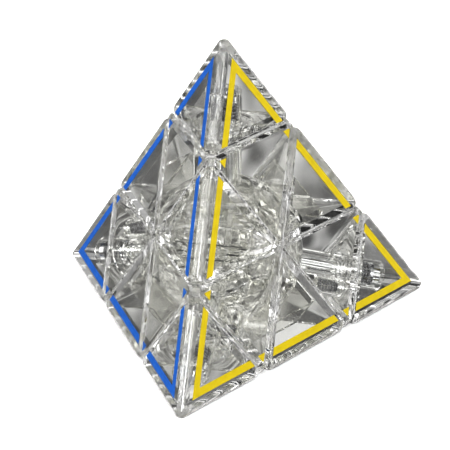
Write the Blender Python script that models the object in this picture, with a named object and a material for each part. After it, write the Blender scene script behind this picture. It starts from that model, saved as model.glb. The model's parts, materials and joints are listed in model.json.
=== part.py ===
"""Pyramid twisty puzzle in clear plastic: a tetrahedron of four tips, four axial pieces and six edge
pieces round a core hub. Metres, +Z up, origin at the core's centre, which is where all four turning
axes meet. The puzzle stands on one face. The front vertex is on -Y.

Every piece of one kind is the same moulding. It is built once, on the top axis or on the top-front
edge, and turned into its other places by the rotations of the tetrahedron.
"""

import itertools
import math

import bmesh
import bpy
import numpy as np
from mathutils import Matrix, Vector

# Whole puzzle
EDGE = 0.098                              # sharp edge of the whole tetrahedron
FACE = EDGE * math.sqrt(6) / 12           # centre to each face
LAYER_CUT = FACE / 3                      # centre to the plane under each layer
TIP_CUT = 5 * FACE / 3                    # centre to the plane under each tip
VERTEX_CUT = 0.0564                       # centre to the small flat on each vertex
GAP = 0.00015                             # each piece keeps this far inside its cuts
OUTER_ROUND = 0.0015                      # rounding along the puzzle's long edges
END_ROUND = 0.0015                        # rounding of tips and edge pieces where a long edge ends
KNOB_ROUND = 0.0022                       # rounding of an axial piece where it meets a long edge
FACET_ROUND = 0.0004                      # rounding round each small facet
CORNER_CUT = 0.0007                       # flat taken off each facet's corners
OUTER_STEPS = 2
FACET_STEPS = 1

# Mouldings
WALL = 0.0015                             # walls that show on the faces
INNER_WALL = 0.0013                       # walls between neighbouring pieces
TOP_PLATE = 0.0018                        # axial piece's plate under its tip
PLUG_GAP = 0.0002                         # inner moulding to outer moulding
INNER_RIDGE = 0.0308                      # centre to the flat inside each long edge, where two walls meet
DOME = 0.0015                             # thickness of the domes over the feet
CORNER_PLATE = 0.0011                     # plates that close the axial piece beside its dome
MECHANISM = 0.0175                        # sphere where the feet slide under the domes
HUB = 0.0105                              # hub ball

# Axle
BORE = 0.0023
SLEEVE = 0.00375
SLEEVE_TOP = 0.0312
SCREW_RADIUS = 0.002
SCREW_START = 0.003
HEAD_BOTTOM = 0.0414
HEAD_TOP = 0.0429
HEAD_RADIUS = 0.003
WASHER_BOTTOM = 0.0408
WASHER_TOP = 0.0413
WASHER_RADIUS = 0.00305
SCREW_HOLE = 0.0021                       # in the hub and in the washer
HUB_HOLE_END = 0.0026                     # centre to the blind end of the hub's hole

# Tip base
BASE_PLATE = 0.0018
CHAMBER = 0.0033                          # bore of the tube round the axle spring
TUBE = 0.00395
TUBE_TOP = 0.0434
PILOT = 0.0039
PILOT_BOTTOM = 0.0316
PILOT_HOLE = 0.0042
GROOVE_INNER = 0.0054
GROOVE_OUTER = 0.00695
GROOVE_DEPTH = 0.0009

# Axle spring
AXLE_COIL = 0.0026
AXLE_WIRE = 0.00038
AXLE_SPRING_TOP = 0.0407
AXLE_TURNS = 5

# Click pin and its spring
CLICK_OFFSET = 0.0062                     # axle to click pin
CLICK_BORE = 0.00175
CLICK_TUBE = 0.0025
CLICK_FLOOR = 0.024
CLICK_COIL = 0.00125
CLICK_WIRE = 0.00024
CLICK_SPRING_TOP = 0.0299
CLICK_TURNS = 7
PIN_HEAD = 0.0014
PIN_HEAD_BOTTOM = 0.03
PIN_HEAD_TOP = 0.03115
PIN_RADIUS = 0.00065
PIN_TOP = 0.0341
PIN_HOLE = 0.00095

# Edge piece's inner moulding
FOOT_WALL = 0.0014
NECK_HALF = 0.008                         # half of the neck's width
BOX_BOTTOM = 0.0182
BOX_FLOOR = 0.0194
BOX_TOP = 0.0245
BOX_WALL = 0.001

# Facets on curved surfaces
BALL_RINGS = 9
BALL_SEGMENTS = 18
ROUND_SEGMENTS = 14
SMALL_SEGMENTS = 10
GROOVE_SEGMENTS = 22
COIL_STEPS = 7                            # rings of wire in each turn
WIRE_SIDES = 4
WELD = 2e-6                               # corners closer than this become one
COPLANAR = math.radians(0.05)

VERTEX = {
    "top": Vector((0, 0, 1)),
    "front": Vector((0, -math.sqrt(8) / 3, -1 / 3)),
    "right": Vector((math.sqrt(6) / 3, math.sqrt(2) / 3, -1 / 3)),
    "left": Vector((-math.sqrt(6) / 3, math.sqrt(2) / 3, -1 / 3)),
}
TOP, FRONT, RIGHT, LEFT = (VERTEX[name] for name in ("top", "front", "right", "left"))
OTHERS = (FRONT, RIGHT, LEFT)
CLICK_CENTRE = tuple(CLICK_OFFSET * LEFT.to_2d().normalized())
RIDGE = (TOP + FRONT).normalized()        # centre to the middle of the top-front edge
ALONG_RIDGE = (RIGHT - LEFT).normalized()


# ---------------------------------------------------------------- meshes


def new_object(bm, name="piece"):
    """Puts a bmesh into a new object, with its faces pointing out."""
    bmesh.ops.recalc_face_normals(bm, faces=bm.faces)
    mesh = bpy.data.meshes.new(name)
    bm.to_mesh(mesh)
    bm.free()
    obj = bpy.data.objects.new(name, mesh)
    bpy.context.scene.collection.objects.link(obj)
    return obj


def remove(obj):
    mesh = obj.data
    bpy.data.objects.remove(obj)
    bpy.data.meshes.remove(mesh)


def convex(planes):
    """Solid behind every plane. A plane is (outward normal, distance from the centre)."""
    normals = np.array([tuple(normal.normalized()) for normal, _ in planes])
    distances = np.array([distance for _, distance in planes])
    corners = []
    for three in itertools.combinations(range(len(planes)), 3):
        matrix = normals[list(three)]
        if abs(np.linalg.det(matrix)) < 1e-6:
            continue
        point = np.linalg.solve(matrix, distances[list(three)])
        inside = (normals @ point <= distances + 1e-9).all()
        if inside and all(np.linalg.norm(point - corner) > 1e-7 for corner in corners):
            corners.append(point)
    bm = bmesh.new()
    verts = [bm.verts.new(corner) for corner in corners]
    for normal, distance in zip(normals, distances):
        on_plane = [i for i, corner in enumerate(corners) if abs(normal @ corner - distance) < 1e-8]
        if len(on_plane) < 3:
            continue
        middle = Vector(np.mean([corners[i] for i in on_plane], axis=0))
        across = (Vector(corners[on_plane[0]]) - middle).normalized()
        up = Vector(normal).cross(across)
        on_plane.sort(key=lambda i: math.atan2(
            (Vector(corners[i]) - middle).dot(up), (Vector(corners[i]) - middle).dot(across)))
        bm.faces.new([verts[i] for i in on_plane])
    return new_object(bm)


def rounding(first, second, radius, steps):
    """Planes that round off the edge between two planes."""
    (normal_a, distance_a), (normal_b, distance_b) = first, second
    cosine = normal_a.dot(normal_b)
    inset_a, inset_b = distance_a - radius, distance_b - radius
    weight_a = (inset_a - cosine * inset_b) / (1 - cosine ** 2)
    weight_b = (inset_b - cosine * inset_a) / (1 - cosine ** 2)
    centre = weight_a * normal_a + weight_b * normal_b
    planes = []
    for step in range(1, steps + 1):
        normal = normal_a.slerp(normal_b, step / (steps + 1))
        planes.append((normal, normal.dot(centre) + radius))
    return planes


def corner_cut(face, facet):
    """Plane that takes off a facet's corner at the face's centre. facet points at the facet."""
    away = (face * face.dot(facet) - facet).normalized()
    return (away, -CORNER_CUT)


def lathe(profile, segments=ROUND_SEGMENTS, centre=(0, 0)):
    """Turns a closed outline of (radius, height) points about a line parallel to Z."""
    bm = bmesh.new()
    rings = []
    for radius, height in profile:
        if radius == 0:
            rings.append([bm.verts.new((centre[0], centre[1], height))])
            continue
        angles = [2 * math.pi * i / segments for i in range(segments)]
        rings.append([
            bm.verts.new((
                centre[0] + radius * math.cos(angle),
                centre[1] + radius * math.sin(angle),
                height,
            ))
            for angle in angles
        ])
    for lower, upper in zip(rings, rings[1:] + rings[:1]):
        if len(lower) == 1 and len(upper) == 1:
            continue
        for i in range(segments):
            j = (i + 1) % segments
            corners = [lower[i % len(lower)], lower[j % len(lower)],
                       upper[j % len(upper)], upper[i % len(upper)]]
            bm.faces.new(list(dict.fromkeys(corners)))
    return new_object(bm)


def rod(radius, low, high, segments=ROUND_SEGMENTS, centre=(0, 0)):
    return lathe([(0, low), (radius, low), (radius, high), (0, high)], segments, centre)


def small_rod(radius, low, high):
    """Rod on the line of the click pin."""
    return rod(radius, low, high, SMALL_SEGMENTS, CLICK_CENTRE)


def ball(radius, pole):
    """Ball whose facets touch the true sphere at their corners only."""
    angles = [math.pi * i / BALL_RINGS for i in range(BALL_RINGS + 1)]
    profile = [(radius * math.sin(angle), -radius * math.cos(angle)) for angle in angles[1:-1]]
    obj = lathe([(0, -radius), *profile, (0, radius)], BALL_SEGMENTS)
    obj.data.transform(pole.to_track_quat("Z", "Y").to_matrix().to_4x4())
    return obj


def hollow_ball(radius, pole):
    """Ball to cut with: its facets stay outside the true sphere."""
    return ball(radius / math.cos(math.pi / BALL_SEGMENTS), pole)


def coil(mean_radius, wire, low, high, turns, centre=(0, 0)):
    """Compression spring with a closed turn at each end."""
    steps = turns * COIL_STEPS
    closed = 2.3 * wire
    rise = (high - low - 2 * wire - 2 * closed) / (turns - 2)
    bm = bmesh.new()
    rings = []
    for i in range(steps + 1):
        turn = i / COIL_STEPS
        height = (low + wire + closed * min(turn, 1) + rise * min(max(turn - 1, 0), turns - 2)
                  + closed * max(turn - turns + 1, 0))
        angle = 2 * math.pi * turn
        out = Vector((math.cos(angle), math.sin(angle), 0))
        middle = Vector((centre[0], centre[1], height)) + mean_radius * out
        rings.append([
            bm.verts.new(middle + wire * (
                math.cos(2 * math.pi * side / WIRE_SIDES) * out
                + math.sin(2 * math.pi * side / WIRE_SIDES) * Vector((0, 0, 1))
            ))
            for side in range(WIRE_SIDES)
        ])
    for lower, upper in zip(rings, rings[1:]):
        for i in range(WIRE_SIDES):
            j = (i + 1) % WIRE_SIDES
            bm.faces.new([lower[i], lower[j], upper[j], upper[i]])
    bm.faces.new(rings[0])
    bm.faces.new(rings[-1])
    return new_object(bm)


def combine(obj, operation, tool):
    """Applies one Boolean to obj and uses the tool up."""
    modifier = obj.modifiers.new(operation.title(), "BOOLEAN")
    modifier.operation = operation
    modifier.solver = "EXACT"
    modifier.object = tool
    depsgraph = bpy.context.evaluated_depsgraph_get()
    mesh = bpy.data.meshes.new_from_object(obj.evaluated_get(depsgraph))
    obj.modifiers.remove(modifier)
    old = obj.data
    obj.data = mesh
    bpy.data.meshes.remove(old)
    remove(tool)
    return obj


def cut(obj, tool):
    return combine(obj, "DIFFERENCE", tool)


def join(obj, tool):
    return combine(obj, "UNION", tool)


def keep(obj, tool):
    return combine(obj, "INTERSECT", tool)


# ---------------------------------------------------------------- mouldings on the top axis


def outer_edge_planes(ends):
    """Rounding along the long edges between the top vertex and each vertex in ends."""
    planes = []
    for end in ends:
        first, second = [(-vertex, FACE) for vertex in OTHERS if vertex is not end]
        planes += rounding(first, second, OUTER_ROUND, OUTER_STEPS)
    return planes


def ridge_plane(end):
    """Plane that touches the rounded long edge between the top vertex and this one."""
    return ((TOP + end).normalized(), math.sqrt(3) * FACE - (math.sqrt(3) - 1) * OUTER_ROUND)


def inner_ridge_planes(ends, inset=0):
    """Flats that thicken the corner inside each long edge, moved inwards by inset."""
    return [((TOP + end).normalized(), INNER_RIDGE - inset) for end in ends]


def tip_end_planes(inset):
    """Rounding of the tip's three lower corners, moved inwards by inset."""
    base = (-TOP, -(TIP_CUT + GAP))
    planes = []
    for end in OTHERS:
        planes += rounding(base, ridge_plane(end), END_ROUND, OUTER_STEPS)
    return [(normal, distance - inset) for normal, distance in planes]


def tip_shell():
    base = (-TOP, -(TIP_CUT + GAP))
    faces = [(-vertex, FACE) for vertex in OTHERS]
    planes = [base, (TOP, VERTEX_CUT), *faces, *outer_edge_planes(OTHERS), *tip_end_planes(0)]
    for face in faces:
        planes += rounding(base, face, FACET_ROUND, FACET_STEPS)
    shell = convex(planes)
    inside = convex(
        [(-TOP, -(TIP_CUT - WALL))]
        + [(-vertex, FACE - WALL) for vertex in OTHERS]
        + inner_ridge_planes(OTHERS)
        + tip_end_planes(WALL)
    )
    return cut(shell, inside)


def tip_base():
    bottom = TIP_CUT + GAP
    plate = convex(
        [(-TOP, -bottom), (TOP, bottom + BASE_PLATE)]
        + [(-vertex, FACE - WALL - PLUG_GAP) for vertex in OTHERS]
        + inner_ridge_planes(OTHERS, PLUG_GAP)
        + tip_end_planes(WALL + PLUG_GAP)
    )
    join(plate, rod(PILOT, PILOT_BOTTOM, bottom + BASE_PLATE / 2))
    join(plate, rod(TUBE, bottom + BASE_PLATE / 2, TUBE_TOP))
    cut(plate, rod(BORE, PILOT_BOTTOM - WALL, bottom + BASE_PLATE + WALL))
    cut(plate, rod(CHAMBER, bottom + BASE_PLATE, TUBE_TOP + WALL))
    groove = lathe([
        (GROOVE_INNER, bottom - GROOVE_DEPTH), (GROOVE_OUTER, bottom - GROOVE_DEPTH),
        (GROOVE_OUTER, bottom + GROOVE_DEPTH), (GROOVE_INNER, bottom + GROOVE_DEPTH),
    ], GROOVE_SEGMENTS)
    return cut(plate, groove)


def axial_shell():
    """Outer moulding of an axial piece, open towards the core."""
    top = (TOP, TIP_CUT - GAP)
    bottom = (-TOP, -(LAYER_CUT + GAP))
    faces = {i: (-vertex, FACE) for i, vertex in enumerate(OTHERS)}
    sides = {i: (vertex, LAYER_CUT - GAP) for i, vertex in enumerate(OTHERS)}
    planes = [top, bottom, *faces.values(), *sides.values(), *outer_edge_planes(OTHERS)]
    for side in sides.values():
        planes += rounding(top, side, KNOB_ROUND, OUTER_STEPS)
    for i, face in faces.items():
        planes += rounding(top, face, FACET_ROUND, FACET_STEPS)
        planes.append(corner_cut(face[0], TOP))
        for j, side in sides.items():
            if i != j:
                planes += rounding(face, side, FACET_ROUND, FACET_STEPS)
    shell = convex(planes)
    inside = convex(
        [(TOP, TIP_CUT - GAP - TOP_PLATE), (-TOP, -(LAYER_CUT - WALL))]
        + [(-vertex, FACE - WALL) for vertex in OTHERS]
        + inner_ridge_planes(OTHERS)
        + [(vertex, LAYER_CUT - GAP - INNER_WALL) for vertex in OTHERS]
    )
    cut(shell, inside)
    cut(shell, hollow_ball(MECHANISM + GAP, TOP))
    cut(shell, rod(PILOT_HOLE, TIP_CUT - 2 * TOP_PLATE, TIP_CUT + WALL))
    return cut(shell, small_rod(PIN_HOLE, TIP_CUT - 2 * TOP_PLATE, TIP_CUT + WALL))


def axial_foot():
    """Inner moulding of an axial piece: dome, corner plates, stem, sleeve and click tube."""
    room = (
        [(-vertex, FACE - WALL - PLUG_GAP) for vertex in OTHERS]
        + [(vertex, LAYER_CUT - GAP - INNER_WALL - PLUG_GAP) for vertex in OTHERS]
        + [(-TOP, -(LAYER_CUT + GAP))]
    )
    foot = convex([*room, (TOP, MECHANISM + GAP + 2 * DOME)])
    keep(foot, ball(MECHANISM + GAP + DOME, TOP))
    join(foot, convex([*room, (TOP, LAYER_CUT + GAP + CORNER_PLATE)]))
    join(foot, rod(SLEEVE, HUB, SLEEVE_TOP))
    join(foot, small_rod(CLICK_TUBE, HUB, SLEEVE_TOP))
    cut(foot, hollow_ball(MECHANISM + GAP, TOP))
    stem = convex([(vertex, -GAP) for vertex in OTHERS] + [(TOP, MECHANISM + 2 * DOME)])
    keep(stem, ball(MECHANISM + GAP + DOME / 2, TOP))
    cut(stem, hollow_ball(HUB + 2 * GAP, TOP))
    join(foot, stem)
    cut(foot, rod(BORE, HUB / 2, SLEEVE_TOP + WALL))
    return cut(foot, small_rod(CLICK_BORE, CLICK_FLOOR, SLEEVE_TOP + WALL))


def axle_screw():
    tip, socket, chamfer = 0.7 * SCREW_RADIUS, 0.4 * HEAD_RADIUS, 0.15 * HEAD_RADIUS
    socket_floor = HEAD_TOP - 0.5 * (HEAD_TOP - HEAD_BOTTOM)
    return lathe([
        (0, SCREW_START), (tip, SCREW_START), (SCREW_RADIUS, SCREW_START + tip / 2),
        (SCREW_RADIUS, HEAD_BOTTOM), (HEAD_RADIUS, HEAD_BOTTOM),
        (HEAD_RADIUS, HEAD_TOP - chamfer), (HEAD_RADIUS - chamfer, HEAD_TOP),
        (socket, HEAD_TOP), (socket, socket_floor), (0, socket_floor),
    ])


def axle_washer():
    return lathe([
        (WASHER_RADIUS, WASHER_BOTTOM), (WASHER_RADIUS, WASHER_TOP),
        (SCREW_HOLE, WASHER_TOP), (SCREW_HOLE, WASHER_BOTTOM),
    ])


def axle_spring():
    low = TIP_CUT + GAP + BASE_PLATE + GAP / 2
    return coil(AXLE_COIL, AXLE_WIRE, low, AXLE_SPRING_TOP, AXLE_TURNS)


def click_spring():
    return coil(CLICK_COIL, CLICK_WIRE, CLICK_FLOOR + GAP, CLICK_SPRING_TOP, CLICK_TURNS, CLICK_CENTRE)


def click_pin():
    return lathe([
        (0, PIN_HEAD_BOTTOM), (PIN_HEAD, PIN_HEAD_BOTTOM), (PIN_HEAD, PIN_HEAD_TOP),
        (PIN_RADIUS, PIN_HEAD_TOP), (PIN_RADIUS, PIN_TOP - PIN_RADIUS / 2),
        (PIN_RADIUS / 2, PIN_TOP), (0, PIN_TOP),
    ], SMALL_SEGMENTS, CLICK_CENTRE)


# ---------------------------------------------------------------- mouldings on the top-front edge


def edge_shell():
    """Outer moulding of an edge piece, open towards the core."""
    faces = [(-RIGHT, FACE), (-LEFT, FACE)]
    sides = [(-TOP, -(LAYER_CUT + GAP)), (-FRONT, -(LAYER_CUT + GAP))]
    planes = [*faces, *sides, *rounding(faces[0], faces[1], OUTER_ROUND, OUTER_STEPS)]
    for side in sides:
        planes += rounding(side, ridge_plane(FRONT), END_ROUND, OUTER_STEPS)
    for face in faces:
        planes.append(corner_cut(face[0], RIDGE))
        for side in sides:
            planes += rounding(face, side, FACET_ROUND, FACET_STEPS)
    shell = convex(planes)
    inside = convex(
        [(normal, distance - WALL) for normal, distance in faces]
        + inner_ridge_planes([FRONT])
        + [(normal, distance - INNER_WALL) for normal, distance in sides]
    )
    cut(shell, inside)
    return cut(shell, hollow_ball(MECHANISM + GAP, RIDGE))


def edge_foot():
    """Inner moulding of an edge piece: hollow square foot, neck and open box."""
    sector = [(-TOP, -GAP), (-FRONT, -GAP), (RIGHT, -GAP), (LEFT, -GAP), (RIDGE, MECHANISM)]
    foot = keep(convex(sector), ball(MECHANISM - GAP, RIDGE))
    cut(foot, hollow_ball(HUB + 2 * GAP, RIDGE))
    pocket = convex([(normal, distance - FOOT_WALL) for normal, distance in sector])
    cut(foot, keep(pocket, ball(MECHANISM - GAP - FOOT_WALL, RIDGE)))

    slot = [
        (-TOP, -(LAYER_CUT + GAP + INNER_WALL + PLUG_GAP)),
        (-FRONT, -(LAYER_CUT + GAP + INNER_WALL + PLUG_GAP)),
    ]
    neck = convex([
        *slot, (ALONG_RIDGE, NECK_HALF), (-ALONG_RIDGE, NECK_HALF), (RIDGE, (BOX_BOTTOM + BOX_FLOOR) / 2),
    ])
    join(foot, cut(neck, ball(MECHANISM - GAP - FOOT_WALL / 2, RIDGE)))

    room = slot + [(-RIGHT, FACE - WALL - PLUG_GAP), (-LEFT, FACE - WALL - PLUG_GAP)]
    box = convex([*room, (-RIDGE, -BOX_BOTTOM), (RIDGE, BOX_TOP)])
    inside = [(normal, distance - BOX_WALL) for normal, distance in room]
    cut(box, convex([*inside, (-RIDGE, -BOX_FLOOR), (RIDGE, BOX_TOP + WALL)]))
    return join(foot, box)


# ---------------------------------------------------------------- core


def core_hub():
    hub = ball(HUB, TOP)
    for vertex in VERTEX.values():
        hole = rod(SCREW_HOLE, HUB_HOLE_END, HUB + WALL)
        hole.data.transform(half_turn(vertex))
        cut(hub, hole)
    return hub


# ---------------------------------------------------------------- placing


def half_turn(vertex):
    """Rotation of the tetrahedron that swaps the top vertex and this one."""
    if vertex is TOP:
        return Matrix.Identity(4)
    return Matrix.Rotation(math.pi, 4, TOP + vertex)


def edge_places():
    """Rotation from the top-front edge to each of the six edges."""
    third = 2 * math.pi / 3
    places = {
        "top_front": Matrix.Identity(4),
        "top_right": Matrix.Rotation(third, 4, "Z"),
        "top_left": Matrix.Rotation(-third, 4, "Z"),
    }
    places["front_left"] = half_turn(FRONT) @ places["top_right"]
    places["front_right"] = half_turn(FRONT) @ places["top_left"]
    places["left_right"] = half_turn(RIGHT) @ places["top_front"]
    return places


def material(name, color, roughness, metallic=0.0, alpha=1.0):
    mat = bpy.data.materials.new(name)
    mat.use_nodes = True
    shader = mat.node_tree.nodes["Principled BSDF"]
    shader.inputs["Base Color"].default_value = (*color, 1)
    shader.inputs["Roughness"].default_value = roughness
    shader.inputs["Metallic"].default_value = metallic
    shader.inputs["Alpha"].default_value = alpha
    return mat


def triangulate(moulding):
    """Cuts the moulding's faces into triangles once, so that all its copies are alike."""
    bm = bmesh.new()
    bm.from_mesh(moulding.data)
    bmesh.ops.remove_doubles(bm, verts=bm.verts, dist=WELD)
    bmesh.ops.dissolve_degenerate(bm, edges=bm.edges, dist=WELD)
    bmesh.ops.dissolve_limit(bm, angle_limit=COPLANAR, verts=bm.verts, edges=bm.edges)
    bmesh.ops.triangulate(bm, faces=bm.faces)
    bm.to_mesh(moulding.data)
    bm.free()


def place(moulding, name, matrix, mat):
    """Adds one node: a copy of the moulding, turned into place about the core's centre."""
    mesh = moulding.data.copy()
    mesh.name = name
    mesh.transform(matrix)
    mesh.materials.clear()
    mesh.materials.append(mat)
    obj = bpy.data.objects.new(name, mesh)
    bpy.context.scene.collection.objects.link(obj)
    mesh.polygons.foreach_set("use_smooth", [True] * len(mesh.polygons))
    mesh.set_sharp_from_angle(angle=math.radians(30))
    return obj


def build():
    clear_shell = material("clear_shell", (0.86, 0.88, 0.88), 0.08, alpha=0.35)
    clear_inner = material("clear_inner", (0.80, 0.82, 0.82), 0.12, alpha=0.35)
    hub_plastic = material("hub_plastic", (0.70, 0.72, 0.73), 0.15, alpha=0.35)
    screw_steel = material("screw_steel", (0.78, 0.78, 0.80), 0.18, metallic=1.0)
    spring_steel = material("spring_steel", (0.30, 0.30, 0.32), 0.30, metallic=1.0)

    on_axis = {
        "axial_shell": (axial_shell, clear_shell),
        "axial_foot": (axial_foot, clear_inner),
        "tip_shell": (tip_shell, clear_shell),
        "tip_base": (tip_base, clear_inner),
        "axle_screw": (axle_screw, screw_steel),
        "axle_washer": (axle_washer, screw_steel),
        "axle_spring": (axle_spring, spring_steel),
        "click_spring": (click_spring, spring_steel),
        "click_pin": (click_pin, screw_steel),
    }
    on_edge = {"edge_shell": (edge_shell, clear_shell), "edge_foot": (edge_foot, clear_inner)}

    for kind, (make, mat) in on_axis.items():
        moulding = make()
        triangulate(moulding)
        for name, vertex in VERTEX.items():
            place(moulding, f"{kind}_{name}", half_turn(vertex), mat)
        remove(moulding)
    for kind, (make, mat) in on_edge.items():
        moulding = make()
        triangulate(moulding)
        for name, matrix in edge_places().items():
            place(moulding, f"{kind}_{name}", matrix, mat)
        remove(moulding)
    hub = core_hub()
    triangulate(hub)
    place(hub, "core_hub", Matrix.Identity(4), hub_plastic)
    remove(hub)


for old in list(bpy.data.objects):
    bpy.data.objects.remove(old)
build()
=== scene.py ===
import itertools
import json
import math

import bmesh
import bpy
import numpy as np
from mathutils import Matrix, Vector

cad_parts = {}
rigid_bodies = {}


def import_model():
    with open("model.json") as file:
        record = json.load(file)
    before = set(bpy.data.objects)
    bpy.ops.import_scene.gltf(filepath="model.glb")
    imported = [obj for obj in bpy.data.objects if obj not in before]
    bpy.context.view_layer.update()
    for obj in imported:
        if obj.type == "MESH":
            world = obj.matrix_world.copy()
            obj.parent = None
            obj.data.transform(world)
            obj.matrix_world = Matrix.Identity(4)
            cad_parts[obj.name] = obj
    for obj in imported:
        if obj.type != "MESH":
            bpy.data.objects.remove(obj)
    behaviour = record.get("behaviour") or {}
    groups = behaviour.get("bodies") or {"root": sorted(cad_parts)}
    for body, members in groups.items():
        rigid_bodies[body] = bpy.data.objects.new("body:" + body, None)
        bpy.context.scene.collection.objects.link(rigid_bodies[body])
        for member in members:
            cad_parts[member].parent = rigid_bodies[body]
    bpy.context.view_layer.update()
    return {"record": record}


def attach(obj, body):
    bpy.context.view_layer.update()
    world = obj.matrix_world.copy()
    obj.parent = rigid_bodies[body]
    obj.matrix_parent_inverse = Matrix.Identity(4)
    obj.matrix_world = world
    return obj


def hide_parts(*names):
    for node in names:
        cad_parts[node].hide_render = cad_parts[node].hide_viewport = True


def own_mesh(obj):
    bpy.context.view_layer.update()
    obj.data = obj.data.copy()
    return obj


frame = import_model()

# ---------------------------------------------------------------- sizes, as in the CAD, in metres

EDGE = 0.098
FACE = EDGE * math.sqrt(6) / 12           # centre to each face
LAYER_CUT = FACE / 3
TIP_CUT = 5 * FACE / 3
VERTEX_CUT = 0.0564
GAP = 0.00015
OUTER_ROUND = 0.0015
END_ROUND = 0.0015
KNOB_ROUND = 0.0022
FACET_ROUND = 0.0004
CORNER_CUT = 0.0007
OUTER_STEPS = 6
FACET_STEPS = 3
END_STEPS = 5

WALL = 0.0015
INNER_WALL = 0.0013
TOP_PLATE = 0.0018
PLUG_GAP = 0.0002
INNER_RIDGE = 0.0308
DOME = 0.0015
CORNER_PLATE = 0.0011
MECHANISM = 0.0175
HUB = 0.0105

BORE = 0.0023
SLEEVE = 0.00375
SLEEVE_TOP = 0.0312
SCREW_RADIUS = 0.002
SCREW_START = 0.003
HEAD_BOTTOM = 0.0414
HEAD_TOP = 0.0429
HEAD_RADIUS = 0.003
WASHER_BOTTOM = 0.0408
WASHER_TOP = 0.0413
WASHER_RADIUS = 0.00305
SCREW_HOLE = 0.0021
HUB_HOLE_END = 0.0026

BASE_PLATE = 0.0018
CHAMBER = 0.0033
TUBE = 0.00395
TUBE_TOP = 0.0434
PILOT = 0.0039
PILOT_BOTTOM = 0.0316
PILOT_HOLE = 0.0042
GROOVE_INNER = 0.0054
GROOVE_OUTER = 0.00695
GROOVE_DEPTH = 0.0009

AXLE_COIL = 0.0026
AXLE_WIRE = 0.00038
AXLE_SPRING_TOP = 0.0407
AXLE_TURNS = 5

CLICK_OFFSET = 0.0062
CLICK_BORE = 0.00175
CLICK_TUBE = 0.0025
CLICK_FLOOR = 0.024
CLICK_COIL = 0.00125
CLICK_WIRE = 0.00024
CLICK_SPRING_TOP = 0.0299
CLICK_TURNS = 7
PIN_HEAD = 0.0014
PIN_HEAD_BOTTOM = 0.03
PIN_HEAD_TOP = 0.03115
PIN_RADIUS = 0.00065
PIN_TOP = 0.0341
PIN_HOLE = 0.00095

FOOT_WALL = 0.0014
NECK_HALF = 0.008
BOX_BOTTOM = 0.0182
BOX_FLOOR = 0.0194
BOX_TOP = 0.0245
BOX_WALL = 0.001

# Printed outlines: distances from each long edge, margin to each facet's border, thickness
LINE_FROM = 0.0039
LINE_TO = 0.0058
TIP_MARGIN = 0.00075
LINE_MARGIN = 0.0012
KNOB_MARGIN = 0.0018
LINE_THICK = 0.00006
LINE_LIFT = 2e-6

# Facets on curved surfaces
BALL_RINGS = 24
BALL_SEGMENTS = 48
ROUND_SEGMENTS = 40
SMALL_SEGMENTS = 28
GROOVE_SEGMENTS = 48
COIL_STEPS = 20
CLOSED_RISE = 2.3                         # of an end turn, in wire radii
WIRE_SIDES = 10
WELD = 2e-6
SAME_POINT = 1e-7
ON_PLANE = 1e-8
PARALLEL = 1e-6                           # three normals whose determinant is smaller meet nowhere
COPLANAR = math.radians(0.05)
SHARP = math.radians(32)
SQUARE_ON = 0.9995                        # cosine of the angle to a plane of the puzzle

VERTEX = {
    "top": Vector((0, 0, 1)),
    "front": Vector((0, -math.sqrt(8) / 3, -1 / 3)),
    "right": Vector((math.sqrt(6) / 3, math.sqrt(2) / 3, -1 / 3)),
    "left": Vector((-math.sqrt(6) / 3, math.sqrt(2) / 3, -1 / 3)),
}
TOP, FRONT, RIGHT, LEFT = (VERTEX[name] for name in ("top", "front", "right", "left"))
OTHERS = (FRONT, RIGHT, LEFT)
CLICK_CENTRE = tuple(CLICK_OFFSET * LEFT.to_2d().normalized())
RIDGE = (TOP + FRONT).normalized()
ALONG_RIDGE = (RIGHT - LEFT).normalized()

BODY_OF = {node: body for body, nodes in frame["record"]["behaviour"]["bodies"].items() for node in nodes}
SLOT_OF = {part["node"]: part["material_slot"] for part in frame["record"]["subparts"]}


# ---------------------------------------------------------------- mesh helpers


def new_object(bm, name="piece"):
    bmesh.ops.recalc_face_normals(bm, faces=bm.faces)
    mesh = bpy.data.meshes.new(name)
    bm.to_mesh(mesh)
    bm.free()
    obj = bpy.data.objects.new(name, mesh)
    bpy.context.scene.collection.objects.link(obj)
    return obj


def remove(obj):
    mesh = obj.data
    bpy.data.objects.remove(obj)
    bpy.data.meshes.remove(mesh)


def convex(planes):
    """Solid behind every plane. A plane is (outward normal, distance from the centre)."""
    normals = np.array([tuple(normal.normalized()) for normal, _ in planes])
    distances = np.array([distance for _, distance in planes])
    triples = np.array(list(itertools.combinations(range(len(planes)), 3)))
    matrices = normals[triples]
    solvable = np.abs(np.linalg.det(matrices)) > PARALLEL
    points = np.linalg.solve(matrices[solvable], distances[triples[solvable]][:, :, None])[:, :, 0]
    inside = (points @ normals.T <= distances + ON_PLANE / 10).all(axis=1)
    corners = []
    for point in points[inside]:
        if all(np.linalg.norm(point - corner) > SAME_POINT for corner in corners):
            corners.append(point)
    bm = bmesh.new()
    verts = [bm.verts.new(corner) for corner in corners]
    for normal, distance in zip(normals, distances):
        on_plane = [i for i, corner in enumerate(corners) if abs(normal @ corner - distance) < ON_PLANE]
        if len(on_plane) < 3:
            continue
        middle = Vector(np.mean([corners[i] for i in on_plane], axis=0))
        across = (Vector(corners[on_plane[0]]) - middle).normalized()
        up = Vector(normal).cross(across)
        on_plane.sort(key=lambda i: math.atan2(
            (Vector(corners[i]) - middle).dot(up), (Vector(corners[i]) - middle).dot(across)))
        bm.faces.new([verts[i] for i in on_plane])
    return new_object(bm)


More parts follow.
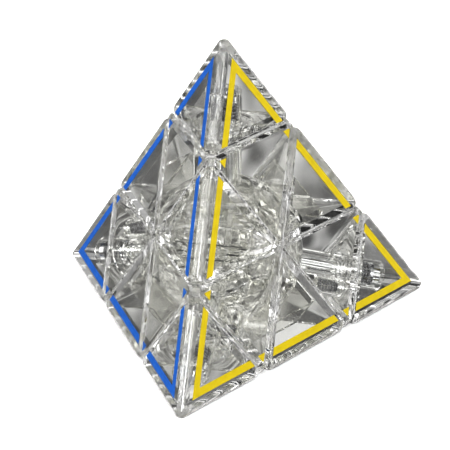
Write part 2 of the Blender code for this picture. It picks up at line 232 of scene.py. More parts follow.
def rounding(first, second, radius, steps):
    """Planes that round off the edge between two planes."""
    (normal_a, distance_a), (normal_b, distance_b) = first, second
    cosine = normal_a.dot(normal_b)
    inset_a, inset_b = distance_a - radius, distance_b - radius
    weight_a = (inset_a - cosine * inset_b) / (1 - cosine ** 2)
    weight_b = (inset_b - cosine * inset_a) / (1 - cosine ** 2)
    centre = weight_a * normal_a + weight_b * normal_b
    planes = []
    for step in range(1, steps + 1):
        normal = normal_a.slerp(normal_b, step / (steps + 1))
        planes.append((normal, normal.dot(centre) + radius))
    return planes


def corner_cut(face, facet):
    """Plane that takes off a facet's corner at the face's centre. facet points at the facet."""
    away = (face * face.dot(facet) - facet).normalized()
    return (away, -CORNER_CUT)


def lathe(profile, segments=ROUND_SEGMENTS, centre=(0, 0)):
    """Turns a closed outline of (radius, height) points about a line parallel to Z."""
    bm = bmesh.new()
    rings = []
    for radius, height in profile:
        if radius == 0:
            rings.append([bm.verts.new((centre[0], centre[1], height))])
            continue
        angles = [2 * math.pi * i / segments for i in range(segments)]
        rings.append([
            bm.verts.new((
                centre[0] + radius * math.cos(angle),
                centre[1] + radius * math.sin(angle),
                height,
            ))
            for angle in angles
        ])
    for lower, upper in zip(rings, rings[1:] + rings[:1]):
        if len(lower) == 1 and len(upper) == 1:
            continue
        for i in range(segments):
            j = (i + 1) % segments
            corners = [lower[i % len(lower)], lower[j % len(lower)],
                       upper[j % len(upper)], upper[i % len(upper)]]
            bm.faces.new(list(dict.fromkeys(corners)))
    return new_object(bm)


def rod(radius, low, high, segments=ROUND_SEGMENTS, centre=(0, 0)):
    return lathe([(0, low), (radius, low), (radius, high), (0, high)], segments, centre)


def small_rod(radius, low, high):
    """Rod on the line of the click pin."""
    return rod(radius, low, high, SMALL_SEGMENTS, CLICK_CENTRE)


def ball(radius, pole):
    angles = [math.pi * i / BALL_RINGS for i in range(BALL_RINGS + 1)]
    profile = [(radius * math.sin(angle), -radius * math.cos(angle)) for angle in angles[1:-1]]
    obj = lathe([(0, -radius), *profile, (0, radius)], BALL_SEGMENTS)
    obj.data.transform(pole.to_track_quat("Z", "Y").to_matrix().to_4x4())
    return obj


def hollow_ball(radius, pole):
    """Ball to cut with: its facets stay outside the true sphere."""
    return ball(radius / math.cos(math.pi / BALL_SEGMENTS), pole)


def coil(mean_radius, wire, low, high, turns, centre=(0, 0)):
    """Compression spring with a closed turn at each end."""
    steps = turns * COIL_STEPS
    closed = CLOSED_RISE * wire
    rise = (high - low - 2 * wire - 2 * closed) / (turns - 2)
    bm = bmesh.new()
    rings = []
    for i in range(steps + 1):
        turn = i / COIL_STEPS
        height = (low + wire + closed * min(turn, 1) + rise * min(max(turn - 1, 0), turns - 2)
                  + closed * max(turn - turns + 1, 0))
        angle = 2 * math.pi * turn
        out = Vector((math.cos(angle), math.sin(angle), 0))
        middle = Vector((centre[0], centre[1], height)) + mean_radius * out
        rings.append([
            bm.verts.new(middle + wire * (
                math.cos(2 * math.pi * side / WIRE_SIDES) * out
                + math.sin(2 * math.pi * side / WIRE_SIDES) * Vector((0, 0, 1))
            ))
            for side in range(WIRE_SIDES)
        ])
    for lower, upper in zip(rings, rings[1:]):
        for i in range(WIRE_SIDES):
            j = (i + 1) % WIRE_SIDES
            bm.faces.new([lower[i], lower[j], upper[j], upper[i]])
    bm.faces.new(rings[0])
    bm.faces.new(rings[-1])
    return new_object(bm)


def combine(obj, operation, tool):
    """Applies one Boolean to obj and uses the tool up."""
    modifier = obj.modifiers.new(operation.title(), "BOOLEAN")
    modifier.operation = operation
    modifier.solver = "EXACT"
    modifier.object = tool
    depsgraph = bpy.context.evaluated_depsgraph_get()
    mesh = bpy.data.meshes.new_from_object(obj.evaluated_get(depsgraph))
    obj.modifiers.remove(modifier)
    old = obj.data
    obj.data = mesh
    bpy.data.meshes.remove(old)
    remove(tool)
    return obj


def cut(obj, tool):
    return combine(obj, "DIFFERENCE", tool)


def join(obj, tool):
    return combine(obj, "UNION", tool)


def keep(obj, tool):
    return combine(obj, "INTERSECT", tool)


# ---------------------------------------------------------------- mouldings on the top axis


def outer_edge_planes(ends):
    planes = []
    for end in ends:
        first, second = [(-vertex, FACE) for vertex in OTHERS if vertex is not end]
        planes += rounding(first, second, OUTER_ROUND, OUTER_STEPS)
    return planes


def ridge_plane(end):
    """Plane that touches the rounded long edge between the top vertex and this one."""
    return ((TOP + end).normalized(), math.sqrt(3) * FACE - (math.sqrt(3) - 1) * OUTER_ROUND)


def inner_ridge_planes(ends, inset=0):
    """Flats that thicken the corner inside each long edge, moved inwards by inset."""
    return [((TOP + end).normalized(), INNER_RIDGE - inset) for end in ends]


def tip_end_planes(inset):
    """Rounding of the tip's three lower corners, moved inwards by inset."""
    base = (-TOP, -(TIP_CUT + GAP))
    planes = []
    for end in OTHERS:
        planes += rounding(base, ridge_plane(end), END_ROUND, END_STEPS)
    return [(normal, distance - inset) for normal, distance in planes]


def tip_shell():
    base = (-TOP, -(TIP_CUT + GAP))
    faces = [(-vertex, FACE) for vertex in OTHERS]
    planes = [base, (TOP, VERTEX_CUT), *faces, *outer_edge_planes(OTHERS), *tip_end_planes(0)]
    for face in faces:
        planes += rounding(base, face, FACET_ROUND, FACET_STEPS)
    shell = convex(planes)
    inside = convex(
        [(-TOP, -(TIP_CUT - WALL))]
        + [(-vertex, FACE - WALL) for vertex in OTHERS]
        + inner_ridge_planes(OTHERS)
        + tip_end_planes(WALL)
    )
    return cut(shell, inside)


def tip_base():
    bottom = TIP_CUT + GAP
    plate = convex(
        [(-TOP, -bottom), (TOP, bottom + BASE_PLATE)]
        + [(-vertex, FACE - WALL - PLUG_GAP) for vertex in OTHERS]
        + inner_ridge_planes(OTHERS, PLUG_GAP)
        + tip_end_planes(WALL + PLUG_GAP)
    )
    join(plate, rod(PILOT, PILOT_BOTTOM, bottom + BASE_PLATE / 2))
    join(plate, rod(TUBE, bottom + BASE_PLATE / 2, TUBE_TOP))
    cut(plate, rod(BORE, PILOT_BOTTOM - WALL, bottom + BASE_PLATE + WALL))
    cut(plate, rod(CHAMBER, bottom + BASE_PLATE, TUBE_TOP + WALL))
    groove = lathe([
        (GROOVE_INNER, bottom - GROOVE_DEPTH), (GROOVE_OUTER, bottom - GROOVE_DEPTH),
        (GROOVE_OUTER, bottom + GROOVE_DEPTH), (GROOVE_INNER, bottom + GROOVE_DEPTH),
    ], GROOVE_SEGMENTS)
    return cut(plate, groove)


def axial_shell():
    top = (TOP, TIP_CUT - GAP)
    bottom = (-TOP, -(LAYER_CUT + GAP))
    faces = {i: (-vertex, FACE) for i, vertex in enumerate(OTHERS)}
    sides = {i: (vertex, LAYER_CUT - GAP) for i, vertex in enumerate(OTHERS)}
    planes = [top, bottom, *faces.values(), *sides.values(), *outer_edge_planes(OTHERS)]
    for side in sides.values():
        planes += rounding(top, side, KNOB_ROUND, END_STEPS)
    for i, face in faces.items():
        planes += rounding(top, face, FACET_ROUND, FACET_STEPS)
        planes.append(corner_cut(face[0], TOP))
        for j, side in sides.items():
            if i != j:
                planes += rounding(face, side, FACET_ROUND, FACET_STEPS)
    shell = convex(planes)
    inside = convex(
        [(TOP, TIP_CUT - GAP - TOP_PLATE), (-TOP, -(LAYER_CUT - WALL))]
        + [(-vertex, FACE - WALL) for vertex in OTHERS]
        + inner_ridge_planes(OTHERS)
        + [(vertex, LAYER_CUT - GAP - INNER_WALL) for vertex in OTHERS]
    )
    cut(shell, inside)
    cut(shell, hollow_ball(MECHANISM + GAP, TOP))
    cut(shell, rod(PILOT_HOLE, TIP_CUT - 2 * TOP_PLATE, TIP_CUT + WALL))
    return cut(shell, small_rod(PIN_HOLE, TIP_CUT - 2 * TOP_PLATE, TIP_CUT + WALL))


def axial_foot():
    room = (
        [(-vertex, FACE - WALL - PLUG_GAP) for vertex in OTHERS]
        + [(vertex, LAYER_CUT - GAP - INNER_WALL - PLUG_GAP) for vertex in OTHERS]
        + [(-TOP, -(LAYER_CUT + GAP))]
    )
    foot = convex([*room, (TOP, MECHANISM + GAP + 2 * DOME)])
    keep(foot, ball(MECHANISM + GAP + DOME, TOP))
    join(foot, convex([*room, (TOP, LAYER_CUT + GAP + CORNER_PLATE)]))
    join(foot, rod(SLEEVE, HUB, SLEEVE_TOP))
    join(foot, small_rod(CLICK_TUBE, HUB, SLEEVE_TOP))
    cut(foot, hollow_ball(MECHANISM + GAP, TOP))
    stem = convex([(vertex, -GAP) for vertex in OTHERS] + [(TOP, MECHANISM + 2 * DOME)])
    keep(stem, ball(MECHANISM + GAP + DOME / 2, TOP))
    cut(stem, hollow_ball(HUB + 2 * GAP, TOP))
    join(foot, stem)
    cut(foot, rod(BORE, HUB / 2, SLEEVE_TOP + WALL))
    return cut(foot, small_rod(CLICK_BORE, CLICK_FLOOR, SLEEVE_TOP + WALL))


def axle_screw():
    tip, socket, chamfer = 0.7 * SCREW_RADIUS, 0.4 * HEAD_RADIUS, 0.15 * HEAD_RADIUS
    socket_floor = HEAD_TOP - 0.5 * (HEAD_TOP - HEAD_BOTTOM)
    return lathe([
        (0, SCREW_START), (tip, SCREW_START), (SCREW_RADIUS, SCREW_START + tip / 2),
        (SCREW_RADIUS, HEAD_BOTTOM), (HEAD_RADIUS, HEAD_BOTTOM),
        (HEAD_RADIUS, HEAD_TOP - chamfer), (HEAD_RADIUS - chamfer, HEAD_TOP),
        (socket, HEAD_TOP), (socket, socket_floor), (0, socket_floor),
    ])


def axle_washer():
    return lathe([
        (WASHER_RADIUS, WASHER_BOTTOM), (WASHER_RADIUS, WASHER_TOP),
        (SCREW_HOLE, WASHER_TOP), (SCREW_HOLE, WASHER_BOTTOM),
    ])


def axle_spring():
    low = TIP_CUT + GAP + BASE_PLATE + GAP / 2
    return coil(AXLE_COIL, AXLE_WIRE, low, AXLE_SPRING_TOP, AXLE_TURNS)


def click_spring():
    return coil(CLICK_COIL, CLICK_WIRE, CLICK_FLOOR + GAP, CLICK_SPRING_TOP, CLICK_TURNS, CLICK_CENTRE)


def click_pin():
    return lathe([
        (0, PIN_HEAD_BOTTOM), (PIN_HEAD, PIN_HEAD_BOTTOM), (PIN_HEAD, PIN_HEAD_TOP),
        (PIN_RADIUS, PIN_HEAD_TOP), (PIN_RADIUS, PIN_TOP - PIN_RADIUS / 2),
        (PIN_RADIUS / 2, PIN_TOP), (0, PIN_TOP),
    ], SMALL_SEGMENTS, CLICK_CENTRE)


# ---------------------------------------------------------------- mouldings on the top-front edge


def edge_shell():
    faces = [(-RIGHT, FACE), (-LEFT, FACE)]
    sides = [(-TOP, -(LAYER_CUT + GAP)), (-FRONT, -(LAYER_CUT + GAP))]
    planes = [*faces, *sides, *rounding(faces[0], faces[1], OUTER_ROUND, OUTER_STEPS)]
    for side in sides:
        planes += rounding(side, ridge_plane(FRONT), END_ROUND, END_STEPS)
    for face in faces:
        planes.append(corner_cut(face[0], RIDGE))
        for side in sides:
            planes += rounding(face, side, FACET_ROUND, FACET_STEPS)
    shell = convex(planes)
    inside = convex(
        [(normal, distance - WALL) for normal, distance in faces]
        + inner_ridge_planes([FRONT])
        + [(normal, distance - INNER_WALL) for normal, distance in sides]
    )
    cut(shell, inside)
    return cut(shell, hollow_ball(MECHANISM + GAP, RIDGE))


def edge_foot():
    sector = [(-TOP, -GAP), (-FRONT, -GAP), (RIGHT, -GAP), (LEFT, -GAP), (RIDGE, MECHANISM)]
    foot = keep(convex(sector), ball(MECHANISM - GAP, RIDGE))
    cut(foot, hollow_ball(HUB + 2 * GAP, RIDGE))
    pocket = convex([(normal, distance - FOOT_WALL) for normal, distance in sector])
    cut(foot, keep(pocket, ball(MECHANISM - GAP - FOOT_WALL, RIDGE)))

    slot = [
        (-TOP, -(LAYER_CUT + GAP + INNER_WALL + PLUG_GAP)),
        (-FRONT, -(LAYER_CUT + GAP + INNER_WALL + PLUG_GAP)),
    ]
    neck = convex([
        *slot, (ALONG_RIDGE, NECK_HALF), (-ALONG_RIDGE, NECK_HALF), (RIDGE, (BOX_BOTTOM + BOX_FLOOR) / 2),
    ])
    join(foot, cut(neck, ball(MECHANISM - GAP - FOOT_WALL / 2, RIDGE)))

    room = slot + [(-RIGHT, FACE - WALL - PLUG_GAP), (-LEFT, FACE - WALL - PLUG_GAP)]
    box = convex([*room, (-RIDGE, -BOX_BOTTOM), (RIDGE, BOX_TOP)])
    inside = [(normal, distance - BOX_WALL) for normal, distance in room]
    cut(box, convex([*inside, (-RIDGE, -BOX_FLOOR), (RIDGE, BOX_TOP + WALL)]))
    return join(foot, box)


def core_hub():
    hub = ball(HUB, TOP)
    for vertex in VERTEX.values():
        hole = rod(SCREW_HOLE, HUB_HOLE_END, HUB + WALL)
        hole.data.transform(half_turn(vertex))
        cut(hub, hole)
    return hub


# ---------------------------------------------------------------- placing


def half_turn(vertex):
    """Rotation of the tetrahedron that swaps the top vertex and this one."""
    if vertex is TOP:
        return Matrix.Identity(4)
    return Matrix.Rotation(math.pi, 4, TOP + vertex)


def edge_places():
    third = 2 * math.pi / 3
    places = {
        "top_front": Matrix.Identity(4),
        "top_right": Matrix.Rotation(third, 4, "Z"),
        "top_left": Matrix.Rotation(-third, 4, "Z"),
    }
    places["front_left"] = half_turn(FRONT) @ places["top_right"]
    places["front_right"] = half_turn(FRONT) @ places["top_left"]
    places["left_right"] = half_turn(RIGHT) @ places["top_front"]
    return places


def tidy(moulding):
    bm = bmesh.new()
    bm.from_mesh(moulding.data)
    bmesh.ops.remove_doubles(bm, verts=bm.verts, dist=WELD)
    bmesh.ops.dissolve_degenerate(bm, edges=bm.edges, dist=WELD)
    bmesh.ops.dissolve_limit(bm, angle_limit=COPLANAR, verts=bm.verts, edges=bm.edges)
    bmesh.ops.triangulate(bm, faces=[face for face in bm.faces if len(face.verts) > 4])
    bm.to_mesh(moulding.data)
    bm.free()


def dress(mesh, mat):
    mesh.materials.clear()
    mesh.materials.append(mat)
    mesh.polygons.foreach_set("use_smooth", [True] * len(mesh.polygons))
    mesh.set_sharp_from_angle(angle=SHARP)


def soften_edges(mesh):
    """Finer-textured plastic on every face that isn't parallel to one of the puzzle's planes."""
    mesh.materials.append(CLEAR_EDGE)
    for polygon in mesh.polygons:
        square_on = max(abs(polygon.normal.dot(vertex)) for vertex in VERTEX.values())
        polygon.material_index = int(square_on < SQUARE_ON)


def place(moulding, node, matrix, mat):
    """Adds the detailed piece that stands for one CAD node."""
    mesh = moulding.data.copy()
    mesh.transform(matrix)
    dress(mesh, mat)
    if mat is CLEAR:
        soften_edges(mesh)
    piece = bpy.data.objects.new(f"{node}_look", mesh)
    bpy.context.scene.collection.objects.link(piece)
    weighted = piece.modifiers.new("Weighted normals", "WEIGHTED_NORMAL")
    weighted.keep_sharp = True
    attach(piece, BODY_OF[node])
    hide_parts(node)


def place_all(kinds, places):
    """Makes each kind of moulding once and puts it in every place of its kind."""
    for kind, make in kinds.items():
        moulding = make()
        tidy(moulding)
        for name, matrix in places.items():
            node = f"{kind}_{name}"
            place(moulding, node, matrix, MATERIAL_OF[SLOT_OF[node]])
        remove(moulding)


def shorten_click_springs():
    """Gives each click spring its own copy of its mesh."""
    for name, vertex in VERTEX.items():
        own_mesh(bpy.data.objects[f"click_spring_{name}_look"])


# ---------------------------------------------------------------- printed outlines


def face_point(corners, shares):
    """Point at the given distances from the sides opposite each corner of a face."""
    height = sum(shares)
    return sum((corner * share for corner, share in zip(corners, shares)), Vector()) / height


def plate(name, corners, outline, face_name, body):
    """Thin printed bit on a face. outline lists each point's distances from the face's three sides."""
    slot, mat = INKS[face_name]
    normal = sum(corners, Vector()).normalized()
    bm = bmesh.new()
    points = [face_point(corners, shares) for shares in outline]
    low = [bm.verts.new(point + normal * LINE_LIFT) for point in points]
    high = [bm.verts.new(point + normal * LINE_THICK) for point in points]
    bm.faces.new(low)
    bm.faces.new(high)
    for i in range(len(points)):
        j = (i + 1) % len(points)
        bm.faces.new([low[i], low[j], high[j], high[i]])
    piece = new_object(bm, name)
    dress(piece.data, mat)
    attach(piece, body)


def outlines(face_name):
    """Outline of the face opposite one vertex, in bits that stay on their own pieces."""
    names = [name for name in VERTEX if name != face_name]
    radius = 3 * FACE
    height = EDGE * math.sqrt(3) / 2
    a, b = LINE_FROM, LINE_TO
    edge_of_tip = 2 * height / 3 + TIP_MARGIN
    inner = 2 * height / 3 - KNOB_MARGIN
    outer = 2 * height / 3 + KNOB_MARGIN
    step = height / 3 + LINE_MARGIN

    def arm(near, near_second):
        far = height - edge_of_tip - near
        return (edge_of_tip, near, far) if near_second else (edge_of_tip, far, near)

    for i, name in enumerate(names):
        second, third = names[(i + 1) % 3], names[(i + 2) % 3]
        corners = [VERTEX[other] * radius for other in (name, second, third)]
        outline = [
            (height - 2 * a, a, a), arm(a, True), arm(b, True),
            (height - 2 * b, b, b), arm(b, False), arm(a, False),
        ]
        plate(f"line_{face_name}_tip_{name}", corners, outline, face_name, f"tip_{name}")

        for side, end in (("a", second), ("b", third)):
            outline = []
            for near, low_end in ((a, True), (a, False), (b, False), (b, True)):
                first = outer - near if low_end else inner
                rest = height - first - near
                outline.append((first, rest, near) if end == second else (first, near, rest))
            body = BODY_OF[f"axial_shell_{name}"]
            plate(f"line_{face_name}_axial_{name}_{side}", corners, outline, face_name, body)

        outline = [
            (step, height - step - a, a), (height - step - a, step, a),
            (height - step - b, step, b), (step, height - step - b, b),
        ]
        pair = edge_name(name, second)
        body = BODY_OF[f"edge_shell_{pair}"]
        plate(f"line_{face_name}_edge_{pair}", corners, outline, face_name, body)


def edge_name(first, second):
    for pair in edge_places():
        if pair in (f"{first}_{second}", f"{second}_{first}"):
            return pair
    raise ValueError(f"{first} {second}")


# ---------------------------------------------------------------- materials


# Scales in features to the metre, depths in metres
HAZE_SCALE = 55
SMEAR_SCALE = 240
SINK_SCALE = 60
SINK_DEPTH = 0.0004
GRAIN_DEPTH = 0.00005
INK_SCALE = 420
INK_DEPTH = 0.00003
NOISE_LOW, NOISE_HIGH = 0.3, 0.7          # the part of a noise that is spread over a range
DEPTH_COLOUR = (0.12, 0.10, 0.08)
ABSORPTION = 3.0                          # per metre of plastic, so that only long light paths darken


def node_material(name):
    mat = bpy.data.materials.new(name)
    mat.use_nodes = True
    tree = mat.node_tree
    return mat, tree, tree.nodes["Principled BSDF"]


def noise_at(tree, point, scale, detail, roughness, seed):
    shift = tree.nodes.new("ShaderNodeMapping")
    shift.inputs["Location"].default_value = (seed, seed * 0.7, -seed)
    tree.links.new(point, shift.inputs["Vector"])
    texture = tree.nodes.new("ShaderNodeTexNoise")
    texture.inputs["Scale"].default_value = scale
    texture.inputs["Detail"].default_value = detail
    texture.inputs["Roughness"].default_value = roughness
    tree.links.new(shift.outputs["Vector"], texture.inputs["Vector"])
    return texture.outputs["Fac"]


def noise(tree, scale, detail, roughness, seed):
    """Noise fixed to the object, with scale in features to the metre."""
    coords = tree.nodes.new("ShaderNodeTexCoord")
    return noise_at(tree, coords.outputs["Object"], scale, detail, roughness, seed)


def spread(tree, fac, low, high):
    """Stretches the middle of a noise to the range from low to high."""
    node = tree.nodes.new("ShaderNodeMapRange")
    node.inputs["From Min"].default_value = NOISE_LOW
    node.inputs["From Max"].default_value = NOISE_HIGH
    node.inputs["To Min"].default_value = low
    node.inputs["To Max"].default_value = high
    tree.links.new(fac, node.inputs["Value"])
    return node.outputs["Result"]


def colours(tree, fac, stops):
    ramp = tree.nodes.new("ShaderNodeValToRGB")
    ramp.color_ramp.elements[0].position = stops[0][0]
    ramp.color_ramp.elements[0].color = (*stops[0][1], 1)
    ramp.color_ramp.elements[1].position = stops[-1][0]
    ramp.color_ramp.elements[1].color = (*stops[-1][1], 1)
    for position, colour in stops[1:-1]:
        ramp.color_ramp.elements.new(position).color = (*colour, 1)
    tree.links.new(fac, ramp.inputs["Fac"])
    return ramp.outputs["Color"]


def greys(tree, fac, stops):
    return colours(tree, fac, [(position, (grey, grey, grey)) for position, grey in stops])


def bump(tree, shader, fac, strength, distance):
    node = tree.nodes.new("ShaderNodeBump")
    node.inputs["Strength"].default_value = strength
    node.inputs["Distance"].default_value = distance
    tree.links.new(fac, node.inputs["Height"])
    tree.links.new(node.outputs["Normal"], shader.inputs["Normal"])


def clear_plastic(name, light, dark, rough_low, rough_high, ior, wave, seed):
    mat, tree, shader = node_material(name)
    haze = noise(tree, HAZE_SCALE, 3, 0.5, seed)
    smears = noise(tree, SMEAR_SCALE, 4, 0.6, seed + 3)
    tint = colours(tree, haze, [(NOISE_LOW, dark), (NOISE_HIGH, light)])
    tree.links.new(tint, shader.inputs["Base Color"])
    tree.links.new(spread(tree, smears, rough_low, rough_high), shader.inputs["Roughness"])
    shader.inputs["Transmission Weight"].default_value = 1.0
    shader.inputs["IOR"].default_value = ior
    bump(tree, shader, noise(tree, SINK_SCALE, 0, 0.4, seed + 7), wave, SINK_DEPTH)
    depth = tree.nodes.new("ShaderNodeVolumeAbsorption")
    depth.inputs["Color"].default_value = (*DEPTH_COLOUR, 1)
    depth.inputs["Density"].default_value = ABSORPTION
    tree.links.new(depth.outputs["Volume"], tree.nodes["Material Output"].inputs["Volume"])
    return mat


def metal(name, light, dark, rough_low, rough_high, scale, wave, seed):
    mat, tree, shader = node_material(name)
    grain = noise(tree, scale, 4, 0.6, seed)
    tint = colours(tree, grain, [(NOISE_LOW, dark), (NOISE_HIGH, light)])
    tree.links.new(tint, shader.inputs["Base Color"])
    tree.links.new(spread(tree, grain, rough_low, rough_high), shader.inputs["Roughness"])
    shader.inputs["Metallic"].default_value = 1.0
    bump(tree, shader, grain, wave, GRAIN_DEPTH)
    return mat


def ink(name, light, dark, seed):
    mat, tree, shader = node_material(name)
    coverage = noise(tree, INK_SCALE, 4, 0.6, seed)
    tree.links.new(colours(tree, coverage, [(0.25, dark), (0.6, light)]), shader.inputs["Base Color"])
    tree.links.new(spread(tree, coverage, 0.45, 0.3), shader.inputs["Roughness"])
    shader.inputs["Specular IOR Level"].default_value = 0.25
    bump(tree, shader, coverage, 0.1, INK_DEPTH)
    return mat


SHELL = ((0.98, 0.98, 0.97), (0.95, 0.95, 0.94))
SHELL_IOR = 1.5
INNER_IOR = 1.36                          # below the shell's, so that many walls don't hide the middle
CLEAR = clear_plastic("Clear shell", *SHELL, 0.0, 0.02, SHELL_IOR, 0.01, 1.0)
CLEAR_EDGE = clear_plastic("Clear shell edges", *SHELL, 0.12, 0.2, SHELL_IOR, 0.01, 1.0)
INSIDE = ((0.97, 0.97, 0.96), (0.94, 0.94, 0.92))
INNER = clear_plastic("Clear inner", *INSIDE, 0.0, 0.01, INNER_IOR, 0.005, 5.0)
MIDDLE = ((0.96, 0.96, 0.95), (0.92, 0.92, 0.90))
HUB_CLEAR = clear_plastic("Clear hub", *MIDDLE, 0.0, 0.01, INNER_IOR, 0.005, 9.0)
SCREW = metal("Plated screw", (0.90, 0.91, 0.92), (0.80, 0.81, 0.83), 0.10, 0.18, 900, 0.03, 2.0)
WIRE = metal("Spring wire", (0.42, 0.42, 0.44), (0.22, 0.22, 0.24), 0.18, 0.35, 1500, 0.15, 4.0)
INKS = {
    "right": ("outline_blue", ink("Blue ink", (0.006, 0.092, 0.350), (0.005, 0.075, 0.290), 1.0)),
    "left": ("outline_yellow", ink("Yellow ink", (0.380, 0.300, 0.004), (0.330, 0.260, 0.003), 2.0)),
    "front": ("outline_white", ink("White ink", (0.700, 0.700, 0.690), (0.620, 0.620, 0.610), 3.0)),
    "top": ("outline_silver", ink("Silver ink", (0.480, 0.490, 0.500), (0.410, 0.420, 0.430), 4.0)),
}
MATERIAL_OF = {
    "clear_shell": CLEAR, "clear_inner": INNER, "hub_plastic": HUB_CLEAR,
    "screw_steel": SCREW, "spring_steel": WIRE,
}


# ---------------------------------------------------------------- camera, light and floor


VIEW_ANGLES = (11.76, 25.64, -0.28)       # round to the right, up, roll
DISTANCE = 0.725
FOCAL = 229.3
RAISED = 0.00586                          # the puzzle sits a little below the middle of the view


def view_axes():
    """Right, up and back of a view from the front, a little to the right, 26 degrees above the puzzle."""
    azimuth, elevation, roll = (math.radians(angle) for angle in VIEW_ANGLES)
    back = Vector((
        math.sin(azimuth) * math.cos(elevation),
        -math.cos(azimuth) * math.cos(elevation),
        math.sin(elevation),
    ))
    level = Vector((math.cos(azimuth), math.sin(azimuth), 0))
    up = back.cross(level)
    right = level * math.cos(roll) + up * math.sin(roll)
    return right, back.cross(right), back


def make_camera():
    right, upright, back = view_axes()
    data = bpy.data.cameras.new("Camera")
    data.lens = FOCAL
    data.sensor_width = 36
    data.clip_start = 0.01
    camera = bpy.data.objects.new("Camera", data)
    spin = Matrix((right, upright, back)).transposed().to_4x4()
    camera.matrix_world = Matrix.Translation(back * DISTANCE + upright * RAISED) @ spin
    bpy.context.scene.collection.objects.link(camera)
    bpy.context.scene.camera = camera


def sun_light(name, towards, strength, softness):
    data = bpy.data.lights.new(name, "SUN")
    data.energy = strength
    data.angle = math.radians(softness)
    lamp = bpy.data.objects.new(name, data)
    lamp.rotation_euler = (-Vector(towards)).to_track_quat("-Z", "Y").to_euler()
    bpy.context.scene.collection.objects.link(lamp)


# What the clear plastic shows: panels all round, a backdrop beyond the puzzle, round dark and grey cards.
# Each list of panels or backdrop holds (share of the noise, brightness).
PANEL_SCALE = 2.4
PANEL_SEED = 0.0
PANELS = [(0.45, 0.015), (0.48, 0.28), (0.54, 0.50), (0.57, 2.2)]
BACKDROP_SCALE = 80
BACKDROP_SEED = 6.5
BACKDROP = [(0.38, 0.12), (0.50, 0.46), (0.62, 0.85)]
BACKDROP_REACH = 11                       # degrees from straight ahead
BACKDROP_EDGE = 2
DARK_GREY = 0.045
DARK_EDGE = 0.1
STUDIO = 0.80                             # brightness of all of it


def round_card(tree, direction, towards, half_angle, edge):
    """1 inside a round card seen in that direction, 0 outside, with a soft edge. Angles in degrees."""
    dot = tree.nodes.new("ShaderNodeVectorMath")
    dot.operation = "DOT_PRODUCT"
    dot.inputs[1].default_value = Vector(towards).normalized()
    tree.links.new(direction, dot.inputs[0])
    inner = math.cos(math.radians(half_angle - edge))
    outer = math.cos(math.radians(half_angle + edge))
    node = tree.nodes.new("ShaderNodeMapRange")
    node.interpolation_type = "SMOOTHSTEP"
    node.inputs["From Min"].default_value = outer
    node.inputs["From Max"].default_value = inner
    tree.links.new(dot.outputs["Value"], node.inputs["Value"])
    return node.outputs["Result"]


CARDS = [
    # direction, half angle, edge, brightness
    ((0.42, 0.68, 0.58), 22, 4, 0.50),
    ((-0.62, -0.54, -0.57), 10, 2, 0.25),
    ((0.0, 0.0, 1.0), 28, 3, 1.3),
    ((-0.18, 0.88, 0.43), 13, 2, 0.20),
    ((-0.85, 0.50, -0.16), 13, 2, 0.25),
    ((0.97, 0.22, 0.04), 10, 2, 0.45),
    ((0.0, -0.25, -0.97), 32, 4, 0.50),
    ((0.79, -0.07, 0.61), 5, 2, 3.5),
    ((-0.94, 0.10, 0.32), 6, 2, 3.0),
]
DARK_CARDS = [
    # degrees to the right of the straight view through the puzzle, degrees up, half angle
    (-0.7, 2.3, 0.25), (-1.9, 0.5, 0.40), (-1.9, -1.1, 0.45), (-1.1, -2.5, 0.30), (0.1, -2.6, 0.30),
    (1.9, -1.4, 0.45), (2.1, 0.4, 0.35), (2.4, -0.1, 0.25), (1.7, -0.3, 0.20), (2.9, -0.1, 0.35),
]


def mottled(tree, direction, scale, seed, stops):
    """Patches of grey that depend on direction only."""
    return greys(tree, noise_at(tree, direction, scale, 1, 0.5, seed), stops)


def flat_grey(tree, brightness):
    node = tree.nodes.new("ShaderNodeRGB")
    node.outputs["Color"].default_value = (brightness, brightness, brightness, 1)
    return node.outputs["Color"]


def blend(tree, below, above, share):
    mix = tree.nodes.new("ShaderNodeMix")
    mix.data_type = "RGBA"
    tree.links.new(share, mix.inputs["Factor"])
    tree.links.new(below, mix.inputs["A"])
    tree.links.new(above, mix.inputs["B"])
    return mix.outputs["Result"]


def make_world():
    world = bpy.data.worlds.new("Studio")
    bpy.context.scene.world = world
    world.use_nodes = True
    tree = world.node_tree
    direction = tree.nodes.new("ShaderNodeTexCoord").outputs["Generated"]
    right, upright, back = view_axes()
    ahead = -back
    total = mottled(tree, direction, PANEL_SCALE, PANEL_SEED, PANELS)
    backdrop = mottled(tree, direction, BACKDROP_SCALE, BACKDROP_SEED, BACKDROP)
    total = blend(tree, total, backdrop, round_card(tree, direction, ahead, BACKDROP_REACH, BACKDROP_EDGE))
    for across, up, half_angle in DARK_CARDS:
        towards = ahead + math.radians(across) * right + math.radians(up) * upright
        card = round_card(tree, direction, towards, half_angle, DARK_EDGE)
        total = blend(tree, total, flat_grey(tree, DARK_GREY), card)
    for towards, half_angle, edge, brightness in CARDS:
        card = round_card(tree, direction, towards, half_angle, edge)
        total = blend(tree, total, flat_grey(tree, brightness), card)
    tree.links.new(total, tree.nodes["Background"].inputs["Color"])
    tree.nodes["Background"].inputs["Strength"].default_value = STUDIO


# Floor, in metres
FLOOR_MIDDLE = 0.2
FLOOR_RADIUS = 2
WALL_HEIGHT = 4
BEND_STEPS = 12
FLOOR_SEGMENTS = 64
PAPER = [(0.3, 0.90), (0.7, 0.93)]


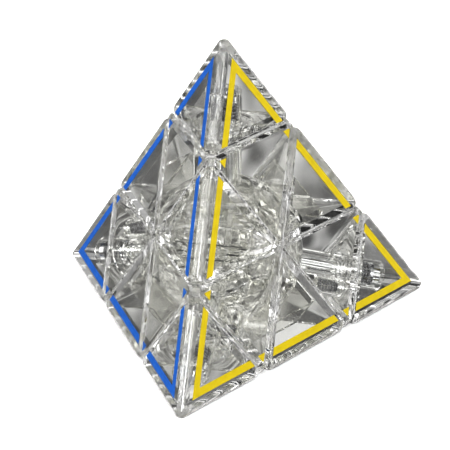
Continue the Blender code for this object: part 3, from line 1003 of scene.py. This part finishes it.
def make_floor():
    """White sweep that curves up all round. Refracted rays see the studio beyond it, as in a cut-out."""
    turns = [i * math.pi / 2 / BEND_STEPS for i in range(BEND_STEPS + 1)]
    bend = [(FLOOR_RADIUS + math.sin(turn), 1 - math.cos(turn)) for turn in turns]
    angles = [2 * math.pi * i / FLOOR_SEGMENTS for i in range(FLOOR_SEGMENTS)]
    bm = bmesh.new()
    rings = []
    for radius, height in [(FLOOR_MIDDLE, 0), *bend, (FLOOR_RADIUS + 1, WALL_HEIGHT)]:
        rings.append([
            bm.verts.new((radius * math.cos(angle), radius * math.sin(angle), height)) for angle in angles
        ])
    bm.faces.new(rings[0])
    for lower, upper in zip(rings, rings[1:]):
        for i in range(FLOOR_SEGMENTS):
            j = (i + 1) % FLOOR_SEGMENTS
            bm.faces.new([lower[i], lower[j], upper[j], upper[i]])
    mesh = bpy.data.meshes.new("floor")
    bm.to_mesh(mesh)
    bm.free()
    floor = bpy.data.objects.new("floor", mesh)
    bpy.context.scene.collection.objects.link(floor)
    floor.location.z = -FACE - 2 * LINE_THICK
    floor.visible_transmission = False
    floor.visible_glossy = False
    floor.visible_shadow = False
    mat, tree, shader = node_material("Paper floor")
    fibres = noise(tree, 60, 5, 0.6, 3.0)
    tree.links.new(greys(tree, fibres, PAPER), shader.inputs["Base Color"])
    shader.inputs["Roughness"].default_value = 0.9
    dress(floor.data, mat)


make_camera()
make_world()
make_floor()
sun_light("Key", towards=(0.2, -0.8, 0.6), strength=2.0, softness=12)

BOUNCES = 96                              # light runs a long way inside the clear walls

scene = bpy.context.scene
scene.view_settings.view_transform = "Standard"
scene.view_settings.look = "High Contrast"
scene.cycles.caustics_refractive = True
scene.cycles.caustics_reflective = False
scene.cycles.max_bounces = BOUNCES
scene.cycles.transmission_bounces = BOUNCES
scene.cycles.glossy_bounces = BOUNCES
scene.cycles.transparent_max_bounces = 16

place_all({
    "axial_shell": axial_shell, "axial_foot": axial_foot, "tip_shell": tip_shell, "tip_base": tip_base,
    "axle_screw": axle_screw, "axle_washer": axle_washer, "axle_spring": axle_spring,
    "click_spring": click_spring, "click_pin": click_pin,
}, {name: half_turn(vertex) for name, vertex in VERTEX.items()})
place_all({"edge_shell": edge_shell, "edge_foot": edge_foot}, edge_places())
place_all({"core": core_hub}, {"hub": Matrix.Identity(4)})
for face_name in INKS:
    outlines(face_name)
shorten_click_springs()
